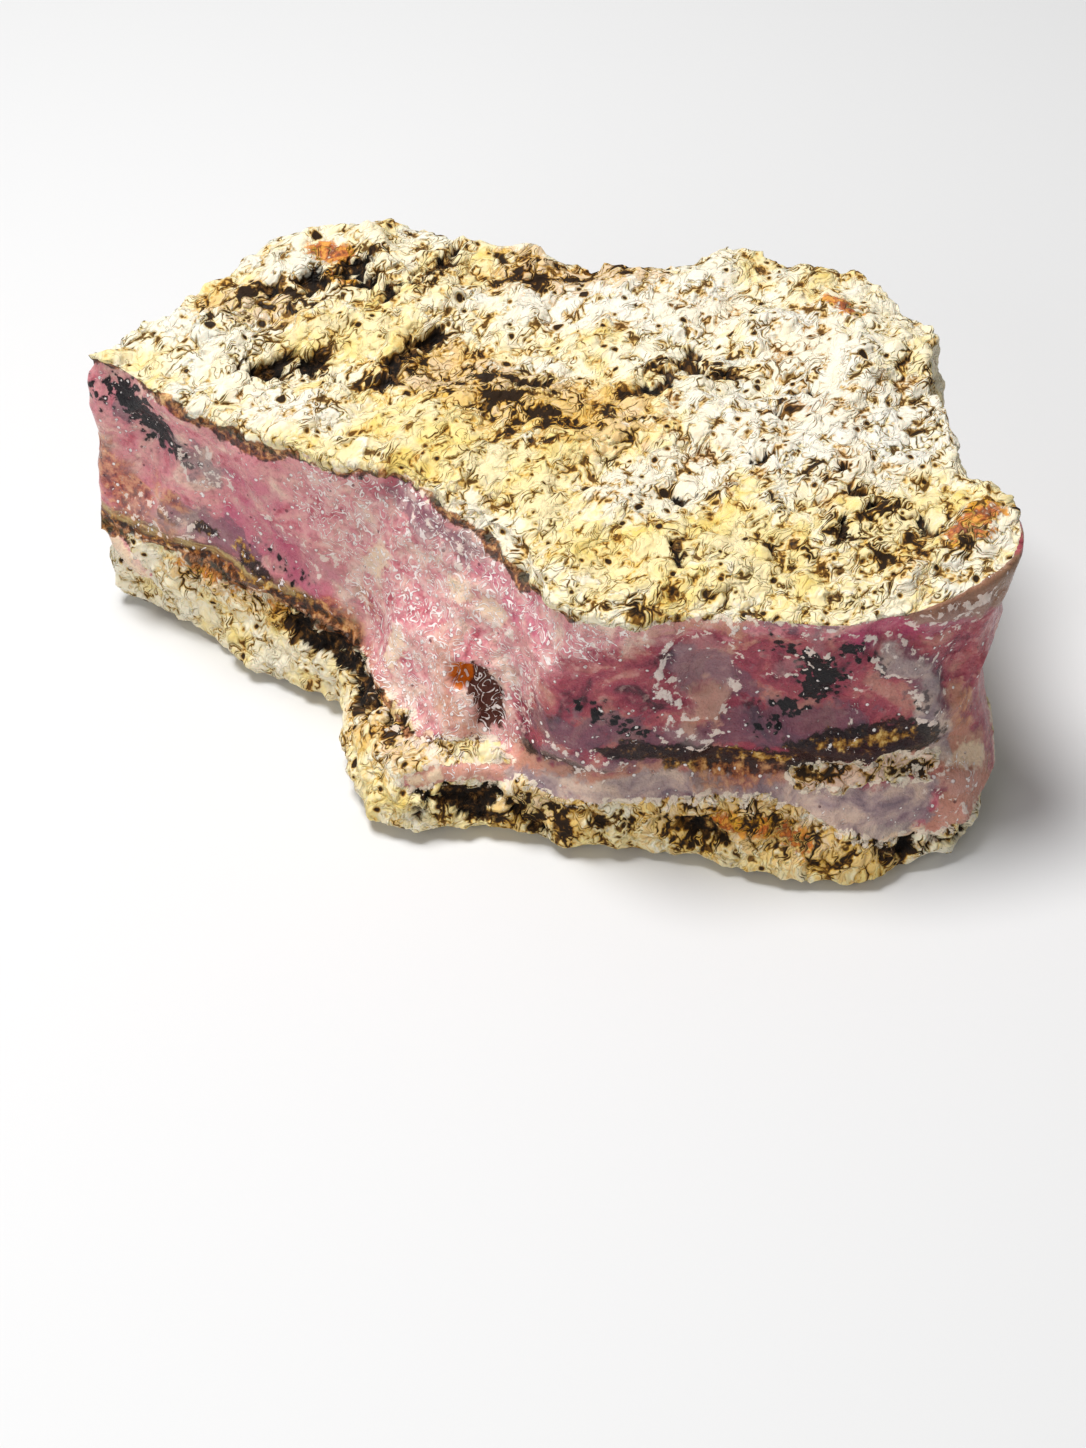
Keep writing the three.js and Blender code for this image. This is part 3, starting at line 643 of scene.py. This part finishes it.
# %% Layers of relief
LAYER_RULES = [
    # layer, where it counts, the pattern, and how a pattern's range becomes a height about zero
    ("Bed height", in_crust, beds, (0.25, 0.75, -0.5, 0.5)),
    ("Lobe height", in_crust, lobes, (0.05, 0.8, 0.4, -0.6)),
    ("Grain height", in_crust, grains, (0.0, 0.7, 0.5, -0.5)),
    ("Gap depth", in_crust, gaps, (0.0, 1.0, 0.0, -1.0)),
    ("Ledge height", in_opal, ledge_edge, (-0.2, 1.2, 0.0, 1.0)),
    ("Bowl height", in_opal, bowls, (0.0, 1.0, -0.5, 0.5)),
    ("Scar depth", in_opal, scar, (1.85, 2.3, 0.0, -0.55)),
    ("Scar depth", in_opal, scar, (2.2, 5.5, 0.0, -0.45)),
    ("Shell height", in_opal, shells, (0.0, 1.0, 0.0, 1.0)),
    ("Splinter height", frosting, splinters, (0.3, 0.7, -0.5, 0.5)),
    ("Hole depth", in_opal, stored["cavity"], (-0.5, 0.7, 0.0, -0.7)),
    ("Hole depth", in_opal, stored["crystal"], (-0.4, 0.6, 0.0, -1.0)),
    ("Lip height", in_crust, top_edge, (-2.4, -1.0, 0.0, 1.0)),
    ("Lip height", in_opal, top_edge, (0.0, 1.2, -0.4, 0.0)),
]
raised = None
for name, where, pattern, (low, high, at_low, at_high) in LAYER_RULES:
    shape = add(relief, RANGE, [pattern, low, high, at_low, at_high], **SOFT)
    here = add(relief, MATH, [shape, where], operation="MULTIPLY")
    raised = add(relief, MATH, [here, given[name], raised or 0.0], operation="MULTIPLY_ADD")
print("layers:", len(LAYER_RULES))

# %% Move the points and store what the material reads
over_ground = add(relief, "ShaderNodeSeparateXYZ", [spot]).node.outputs["Z"]
# the relief fades out near the table, so that the side which the stone rests on keeps its form
off_ground = add(relief, RANGE, [over_ground, 0.1, 2.0, 0.0, MM], **SOFT)
in_metres = add(relief, MATH, [raised, off_ground], operation="MULTIPLY")
normal = add(relief, "GeometryNodeInputNormal")
push = add(relief, VECTOR, {"Vector": normal, "Scale": in_metres}, operation="SCALE")
new_place = add(relief, VECTOR, [position, push], operation="ADD")
for kind, corner in [("MAXIMUM", "Low corner"), ("MINIMUM", "High corner")]:
    new_place = add(relief, VECTOR, [new_place, given[corner]], operation=kind)
flow = given["Geometry"]
for name, data_type, value in [
    ("rest", "FLOAT_VECTOR", spot), ("glassy", "FLOAT", glassy), ("foot_edge", "FLOAT", foot_edge),
    ("top_edge", "FLOAT", top_edge),
]:
    flow = add(relief, "GeometryNodeStoreNamedAttribute", {"Geometry": flow, "Name": name, "Value": value},
               data_type=data_type, domain="POINT")
flow = add(relief, "GeometryNodeSetPosition", {"Geometry": flow, "Position": new_place})
flow = add(relief, "GeometryNodeSetShadeSmooth", {"Geometry": flow})
flow = add(relief, "GeometryNodeRealizeInstances", {"Geometry": flow})
flow = add(relief, "GeometryNodeSetMaterial", {"Geometry": flow, "Material": given["Finish"]})
add(relief, "NodeGroupOutput", {"Geometry": flow})
print("nodes in the relief tree:", len(relief.nodes))

# %% [markdown]
# ## The material
# It is two stones in one: chalky, porous silica crust, and common pink opal, broken so that it is glassy
# in some places and frosted in others. Two material slots would meet in a hard, stepped line along the
# mesh's edges. One shader with both, mixed by the seam's distance, gives a crisp ragged line at any
# scale. Each mark is laid over the base colour in turn. Marks share three noises for their frayed rims,
# because each noise costs render time.

# %% Start of the material
finish = bpy.data.materials.new("broken_pink_opal_and_silica_crust")
finish.use_nodes = True
shade = finish.node_tree
surface = shade.nodes["Principled BSDF"]
KEPT = ["glassy", "foot_edge", "top_edge", *ALL_MARKS]
kept = {
    name: add(shade, "ShaderNodeAttribute", attribute_name=name).node.outputs["Fac"] for name in KEPT
}
rest = add(shade, "ShaderNodeAttribute", attribute_name="rest").node.outputs["Vector"]
warped, lobes, grains = crust_lobes(shade, rest)
crumbly = add(shade, NOISE, {"Vector": rest, "Scale": 1 / CRUMB_MM, **ROUGH})
cloudy = add(shade, NOISE, {"Vector": rest, "Scale": 1 / CLOUD_MM, **ROUGH})
lobed = add(shade, NOISE, {"Vector": warped, "Scale": 1 / CRUMB_MM, **ROUGH})
print("material:", finish.name)


# %% How colours are laid over each other
def lay_over(colour, layers):
    """Lays colours over a colour. A layer is where it shows, and its hex colour or colour socket."""
    for where, top in layers:
        top = paint(top) if isinstance(top, str) else top
        colour = add(shade, MIX, [where, colour, top], data_type="RGBA")
    return colour


def lay_marks(colour, rules):
    """Lays frayed marks over a colour. A rule is a mark, its colour, noise, fray, softness and strength."""
    layers = [(frayed(shade, noise, kept[name], *rim), top) for name, top, noise, *rim in rules]
    return lay_over(colour, layers)


def off_level(pattern, level):
    """How far a pattern is from one of its levels. That is nought along a line, so it can draw lines."""
    away = add(shade, MATH, [pattern, level], operation="SUBTRACT")
    return add(shade, MATH, [away], operation="ABSOLUTE")


def drawn(width, distance, low, high, strength):
    """A line or dot of some width: how deep each place lies inside it, and how strongly it shows there."""
    depth = add(shade, MATH, [width, distance], operation="SUBTRACT")
    return depth, add(shade, RANGE, [depth, low, high, 0.0, strength], **SOFT)


print("noises that all marks share:", [noise.node.name for noise in (crumbly, cloudy, lobed)])

# %% [markdown]
# ### Crust
# Weathered silica is almost white on the lobes, cream to straw yellow where iron has soaked in, and brown
# in the grooves, where dirt stays and where the brown also paints the shade that falls into them. Thin
# curls of brown run between the grains, and gas and roots left small dark pores. All three are lines or
# dots of a true width, so each gives a distance to its edge in millimetres. The nearest one wins, and one
# set of
# rules colours it: a golden halo outside, which also paints the shade that rounds the edge of each lobe,
# brown on the line and nearly black in its core.

# %% Crust base and its washes of colour
cloud = add(shade, NOISE, {"Vector": warped, "Scale": 1 / 5, "Detail": 4.0, "Roughness": 0.6})
crust = add(shade, RAMP, [cloud], stops=[
    (0.3, "#E8CA76"), (0.41, "#F0DEA6"), (0.52, "#F2E6C6"), (0.66, "#F1E9D4"),
])
domes = add(shade, NOISE, {"Vector": rest, "Scale": 1 / 7, "Detail": 2.0})
dome_here = add(shade, RANGE, [domes, 0.58, 0.66, 0.0, 0.5], **SOFT)
crust = lay_over(crust, [(dome_here, "#E2E3DC")])
rusty = add(shade, RAMP, [crumbly], stops=[(0.4, "#7A3206"), (0.5, "#B8580E"), (0.6, "#DE9634")])
crust = lay_marks(crust, [
    ("yellow", "#E9CC66", lobed, 9.0, 1.2, 0.42),
    ("white", "#EEE8DA", lobed, 6.0, 1.5, 0.7),
    ("ochre", "#D89A2C", lobed, 8.0, 0.6, 0.45),
    ("rust", rusty, crumbly, 2.6, 0.4, 0.93),
    ("island", "#E2B8A2", lobed, 2.0, 0.5, 0.75),
])
print("nodes so far:", len(shade.nodes))

# %% Distance to the lines and pores of the crust, in millimetres
CURL_MM = 2.2
CURL_LEVELS = [0.43, 0.56]  # a curl follows the places where its noise has one of these values
NOISE_SLOPE = 0.36  # how much noise changes over the length of one of its grains
thin = add(shade, NOISE, {"Vector": rest, "Scale": 1 / 2.2, "Detail": 3.0, "Roughness": 0.6})
width = add(shade, RANGE, [thin, 0.34, 0.66, -0.25, 0.07], **SOFT)
WIDER_AT = [  # a mark, the depths from which and up to which lines get wider, and by how many mm at most
    ("brown", -2.5, 2.2, 0.14),
    ("black", -1.4, 0.6, 0.12),
    ("ochre", -2.0, 2.0, 0.1),
    ("island", -1.0, 1.0, 0.12),
]
for name, low, high, most in WIDER_AT:
    wider = add(shade, RANGE, [kept[name], low, high, 0.0, most], **SOFT)
    width = add(shade, MATH, [width, wider], operation="ADD")
next_lobes = add(shade, CELLS, {"Vector": warped, "Scale": 1 / LOBE_MM}, feature="F2")
off_groove = add(shade, MATH, [next_lobes, lobes], operation="SUBTRACT")  # nought where two lobes meet
depths = [add(shade, MATH, [off_groove, -LOBE_MM / 2, width], operation="MULTIPLY_ADD")]
curls = add(shade, NOISE, {"Vector": warped, "Scale": 1 / CURL_MM, "Detail": 1.0, "Distortion": 0.8})
for level in CURL_LEVELS:
    from_curl = off_level(curls, level)
    depths.append(add(shade, MATH, [from_curl, -CURL_MM / NOISE_SLOPE, width], operation="MULTIPLY_ADD"))
PORES = [(1.3, 0.25, 0.32), (2.8, 0.55, 0.6)]  # mm between pores, share that stays closed, widest in mm
for spacing, share, widest in PORES:
    pores = add(shade, CELLS, {"Vector": rest, "Scale": 1 / spacing})
    pore_pick = add(shade, "ShaderNodeSeparateColor", [pores.node.outputs["Color"]])
    pore_size = add(shade, RANGE, [pore_pick, share, 1.0, -0.55, widest - 0.25], **SOFT)
    ragged = add(shade, MATH, [crumbly, 0.5, pore_size], operation="MULTIPLY_ADD")
    depths.append(add(shade, MATH, [pores, -spacing, ragged], operation="MULTIPLY_ADD"))
line_depth = depths[0]
for depth in depths[1:]:
    line_depth = add(shade, MATH, [line_depth, depth], operation="MAXIMUM")
print("nodes so far:", len(shade.nodes))

# %% Golden halos, brown lines and black cores, partly painted shade
# the halo also paints the shade that rounds each lobe's edge; line and core are dirt and painted shade down
# in the grooves
halo = add(shade, RANGE, [line_depth, -0.18, 0.0, 0.0, 0.8], **SOFT)
line = add(shade, RANGE, [line_depth, -0.05, 0.01, 0.0, 0.95], **SOFT)
core = add(shade, RANGE, [line_depth, 0.02, 0.1, 0.0, 0.95], **SOFT)
golden = add(shade, RAMP, [cloud], stops=[(0.38, "#C88A14"), (0.5, "#E4B02C"), (0.62, "#ECD484")])
line_dirt_and_shade = add(shade, MIX, [thin, paint("#94601C"), paint("#2C1A0A")], data_type="RGBA")
gap_soot_and_shade = add(shade, RAMP, [crumbly], stops=[
    (0.4, "#120D0A"), (0.52, "#2A1C10"), (0.62, "#6E4A22"), (0.7, "#C9A15A"),
])
# black fills the deepest gaps between lobes: dark dirt, and painted shade in them as well
black_here = black_gaps(shade, lobed, lobes, kept["black"])
crust = lay_over(crust, [(halo, golden), (line, line_dirt_and_shade), (core, "#22160C"), (black_here, gap_soot_and_shade)])
print("nodes so far:", len(shade.nodes))

# %% [markdown]
# ### Opal
# Common opal is water-bearing silica without play of colour. Here it runs from shell pink to rose and
# magenta, and is clearest and darkest at the front. Light goes a little way into it. Near its foot, thin
# beds of bronze and olive iron silica lie flat, and black manganese ferns spread from old cracks. Where
# it broke, it is covered with fine white splinters and with thin shells whose rims are pale.

# %% Opal base and its clouds
swirls = {"Vector": rest, "Scale": 1 / 5, "Detail": 4.0, "Roughness": 0.58, "Distortion": 0.8}
milk = add(shade, NOISE, swirls)
pale = add(shade, RAMP, [milk], stops=[
    (0.34, "#C25C6A"), (0.44, "#DA8A92"), (0.54, "#DFA09C"), (0.64, "#EECAB8"),
])
deep = add(shade, RAMP, [milk], stops=[
    (0.34, "#502430"), (0.44, "#9E4254"), (0.54, "#B0565E"), (0.65, "#C48478"),
])
misty = add(shade, RAMP, [milk], stops=[(0.38, "#86767E"), (0.48, "#B09E9A"), (0.6, "#DCC4B2")])
in_rose = frayed(shade, cloudy, kept["rose"], fray=5.0, softness=0.8)
murk = add(shade, RANGE, [crumbly, 0.34, 0.5, 0.26, 0.0], **SOFT)
gleam = add(shade, RANGE, [crumbly, 0.53, 0.68, 0.0, 0.26], **SOFT)
opal = lay_over(pale, [(in_rose, deep), (murk, "#38161E"), (gleam, "#F0C4B8")])
opal = lay_marks(opal, [
    # the left face's magenta also paints the shade in its hollow under the crust
    ("magenta", "#B8386E", cloudy, 4.0, 1.0, 0.5),
    ("grey", "#645260", cloudy, 4.4, 0.6, 0.62),
    ("peach", "#CF987C", cloudy, 4.0, 0.8, 0.7),
    ("cream", "#F0D6B4", crumbly, 1.8, 0.5, 0.85),
    ("mauve", misty, cloudy, 2.4, 0.5, 0.85),
    ("tan", "#967458", cloudy, 2.0, 0.4, 0.85),
])
print("nodes so far:", len(shade.nodes))

# %% Beds above the seam's foot
BEDS_MM = 5.0  # together the beds are this thick
place = add(shade, "ShaderNodeSeparateXYZ", [rest])
foot_place = add(shade, "ShaderNodeCombineXYZ", [place, place.node.outputs["Y"], kept["foot_edge"]])
along_foot = add(shade, VECTOR, [foot_place, (0.2, 0.2, 1.0)], operation="MULTIPLY")
bed_noise = add(shade, NOISE, {"Vector": along_foot, "Scale": 1 / 1.1, "Detail": 5.0, "Roughness": 0.65})
bent = add(shade, MATH, [bed_noise, 0.5], operation="SUBTRACT")
bed = add(shade, MATH, [kept["foot_edge"], 1 / BEDS_MM, bent], operation="MULTIPLY_ADD")
bed_tone = add(shade, RAMP, [bed], stops=[
    (0.04, "#B4641E"), (0.15, "#3A2417"), (0.27, "#8E6E34"),
    (0.38, "#B8A468"), (0.5, "#5C3A30"), (0.64, "#A86A62"),
])
bed_here = add(shade, RANGE, [bed, 0.5, 0.8, 0.9, 0.0], **SOFT)
BED_LIMITS = [
    (kept["iron"], -1.0, 0.5, 0.0, 1.0),  # beds are only where the edge is iron-stained
    (place.node.outputs["Z"], 19.0, 21.0, 1.0, 0.0),  # and only in the lower half
    (bed, -0.15, 0.0, 0.0, 1.0),  # and not on the ledge below the edge
]
for pattern, low, high, at_low, at_high in BED_LIMITS:
    allowed = add(shade, RANGE, [pattern, low, high, at_low, at_high], **SOFT)
    bed_here = add(shade, MATH, [bed_here, allowed], operation="MULTIPLY")
print("nodes so far:", len(shade.nodes))

# %% Bronze, gold, embers and ferns
specks = add(shade, CELLS, {"Vector": rest, "Scale": 1 / 0.9})
grainy = add(shade, MATH, [specks, -0.5, 0.2], operation="MULTIPLY_ADD")  # ferns are made of tiny grains
grainy = add(shade, MATH, [grainy, crumbly], operation="ADD")
bronze = add(shade, RAMP, [crumbly], stops=[
    (0.5, "#0C0806"), (0.59, "#2A1A0C"), (0.65, "#6E4A20"), (0.73, "#C69C54"),
])
gilt = add(shade, RAMP, [crumbly], stops=[
    (0.42, "#20120A"), (0.5, "#6E4418"), (0.58, "#B88432"), (0.67, "#E8C478"),
])
embers = add(shade, RAMP, [crumbly], stops=[(0.4, "#5A2418"), (0.5, "#B0603A"), (0.6, "#D89A6A")])
opal = lay_over(opal, [(bed_here, bed_tone)])
opal = lay_marks(opal, [
    ("bronze", bronze, cloudy, 2.4, 0.3, 0.93),
    ("gold", gilt, cloudy, 1.8, 0.3, 0.9),
    ("ember", embers, cloudy, 3.4, 0.9, 0.7),
    ("manganese", "#44343F", grainy, 4.2, 2.0, 0.7),  # the smoky haze round a fern
    ("manganese", "#0B0C10", grainy, 2.9, 0.3, 0.97),
])
print("nodes so far:", len(shade.nodes))

# %% Where the break is frosted, with a pale haze that also paints light
frost_bonus = add(shade, RANGE, [kept["frost"], -1.5, 1.5, 0.03, 0.2], **SOFT)
rose_loss = add(shade, RANGE, [in_rose, 0.0, 1.0, 0.0, -0.05])
brokenness = add(shade, MATH, [lobed, frost_bonus], operation="ADD")
brokenness = add(shade, MATH, [brokenness, rose_loss], operation="ADD")
# a pale haze of frost, which also paints the light on the broken faces that turn up towards the lamp
pale_haze_and_light = add(shade, RANGE, [crumbly, 0.44, 0.66, 0.0, 0.6], **SOFT)
frost_here = add(shade, RANGE, [kept["frost"], -1.5, 2.0, 0.0, 1.0], **SOFT)
frost_haze_and_light = add(shade, MATH, [pale_haze_and_light, frost_here], operation="MULTIPLY")
print("nodes so far:", len(shade.nodes))

# %% The two holes, white splinters, white specks that also paint glints, and dark specks
arcs = add(shade, NOISE, {"Vector": rest, "Scale": 1 / 1.5, "Detail": 1.0, "Distortion": 0.9})
arc_level = add(shade, MATH, [arcs, 0.09], operation="PINGPONG")  # nought at every 0.18 of the noise
arc_width = add(shade, RANGE, [brokenness, 0.54, 0.74, -0.004, 0.024], **SOFT)
arc_depth, arc = drawn(arc_width, arc_level, -0.002, 0.005, 0.9)
speck_pick = add(shade, "ShaderNodeSeparateColor", [specks.node.outputs["Color"]])
speck_more = add(shade, MATH, [speck_pick, brokenness], operation="ADD")
speck_size = add(shade, RANGE, [speck_more, 1.1, 1.5, 0.0, 0.24], **SOFT)
# white specks are tiny splinters, and they also paint the small glints of light on the opal
speck_depth, white_speck_and_glint = drawn(speck_size, specks, -0.04, 0.03, 0.9)
dark_size = add(shade, RANGE, [speck_pick.node.outputs["Green"], 0.82, 1.0, 0.0, 0.24], **SOFT)
_, dark_speck = drawn(dark_size, specks, -0.04, 0.03, 0.7)
# the pale frost haze also paints light on the faces turned to the lamp
opal = lay_over(opal, [(frost_haze_and_light, "#E6C6BE"), (dark_speck, "#4A1C28")])
opal = lay_marks(opal, [
    ("cavity", "#4C1C0A", crumbly, 1.8, 0.3, 0.97),
    ("crystal", "#D8700C", crumbly, 0.8, 0.2, 0.97),
])
# white splinters, and white specks that also paint glints
opal = lay_over(opal, [(arc, "#FBEFEA"), (white_speck_and_glint, "#FCF4F0")])
print("nodes so far:", len(shade.nodes))

# %% Shells with pale rims
opal = lay_marks(opal, [("shell", "#BBA29F", cloudy, 2.5, 0.5, 0.25)])
rim_depth = add(shade, MATH, [cloudy, 5.0, kept["shell"]], operation="MULTIPLY_ADD")
off_rim = off_level(rim_depth, 2.5)
rim_width = add(shade, RANGE, [crumbly, 0.46, 0.64, -0.2, 0.7], **SOFT)
_, rim = drawn(rim_width, off_rim, -0.08, 0.1, 0.85)
opal = lay_over(opal, [(rim, "#EEDCD0")])
opal = lay_marks(opal, [("chip", "#F0E2D8", crumbly, 1.8, 0.15, 0.85)])
print("nodes so far:", len(shade.nodes))

# %% Crust and opal together
fringe = add(shade, MATH, [crumbly, 1.6, kept["glassy"]], operation="MULTIPLY_ADD")
is_opal = add(shade, RANGE, [fringe, 0.7, 0.9, 0.0, 1.0], **SOFT)
off_edge = off_level(fringe, 0.8)
iron_width = add(shade, RANGE, [domes, 0.36, 0.6, 0.35, 1.25], **SOFT)
thick_iron = add(shade, RANGE, [kept["iron"], -0.5, 1.0, 0.0, 1.0], **SOFT)
iron_width = add(shade, MATH, [iron_width, thick_iron], operation="MULTIPLY")
_, iron = drawn(iron_width, off_edge, 0.0, 0.35, 0.9)
iron_stops = [(0.4, "#1E1109"), (0.49, "#5A3012"), (0.57, "#A8622A"), (0.67, "#E0B070")]
iron_tone = add(shade, RAMP, [crumbly], stops=iron_stops)
lip_width = add(shade, RANGE, [crumbly, 0.4, 0.62, -0.3, 0.7], **SOFT)
_, lip = drawn(lip_width, off_edge, -0.1, 0.1, 0.85)
colour = lay_over(crust, [(is_opal, opal), (lip, "#F0E0CA"), (iron, iron_tone)])
shade.links.new(colour, surface.inputs["Base Color"])
print("nodes in the colour:", len(shade.nodes))

# %% Gloss, depth and fine bumps
crust_rough = add(shade, RANGE, [domes, 0.5, 0.68, 0.92, 0.6])
opal_rough = add(shade, RANGE, [brokenness, 0.4, 0.75, 0.2, 0.55])
rough = add(shade, MIX, [is_opal, crust_rough, opal_rough])
shade.links.new(rough, surface.inputs["Roughness"])
GLOSS_AND_DEPTH = {
    "IOR": 1.45, "Specular IOR Level": 0.28,
    "Subsurface Weight": 0.12, "Subsurface Radius": (1.0, 0.55, 0.45), "Subsurface Scale": 1.0 * MM,
}
for name, value in GLOSS_AND_DEPTH.items():
    surface.inputs[name].default_value = value
BUMPS = [
    # which stone, pattern, and how its range becomes a height
    ("crust", grains, (0.0, 0.8, 0.3, -0.3)), ("crust", line_depth, (-0.3, 0.15, 0.4, -0.8)),
    ("opal", arc_depth, (-0.008, 0.004, 0.0, 0.35)), ("opal", speck_depth, (-0.06, 0.04, 0.0, 0.4)),
    ("opal", crumbly, (0.3, 0.7, -0.15, 0.15)),
]
heights = {"crust": 0.0, "opal": 0.0}
for stone, pattern, (low, high, at_low, at_high) in BUMPS:
    shape = add(shade, RANGE, [pattern, low, high, at_low, at_high], **SOFT)
    heights[stone] = add(shade, MATH, [shape, heights[stone]], operation="ADD")
height = add(shade, MIX, [is_opal, heights["crust"], heights["opal"]])
bump = add(shade, "ShaderNodeBump", {"Height": height, "Distance": 0.42 * MM, "Strength": 0.9})
shade.links.new(bump, surface.inputs["Normal"])
print("nodes in the material:", len(shade.nodes))

# %% [markdown]
# ## Putting the stone together
# The tree is run on the even mesh and its result is kept as a plain mesh. The stone then takes the place
# of the construction solid, which stays as the shape for collisions.

# %% The finished stone
carrier = put("stone_carrier", even_mesh)
maker = carrier.modifiers.new("relief", "NODES")
maker.node_group = relief
sockets = {item.name: item.identifier for item in relief.interface.items_tree if item.in_out == "INPUT"}
for name, value in LAYERS.items():
    maker[sockets[name]] = value
maker[sockets["Finish"]] = finish
maker[sockets["Low corner"]] = model_box[0]
maker[sockets["High corner"]] = model_box[1]
stone_mesh = as_plain_mesh(carrier, "pink_opal_stone")
stone = put("pink_opal_stone", stone_mesh)
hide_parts(NODE)
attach(stone, "root")
print("triangles in the stone:", sum(len(face.vertices) - 2 for face in stone_mesh.polygons))
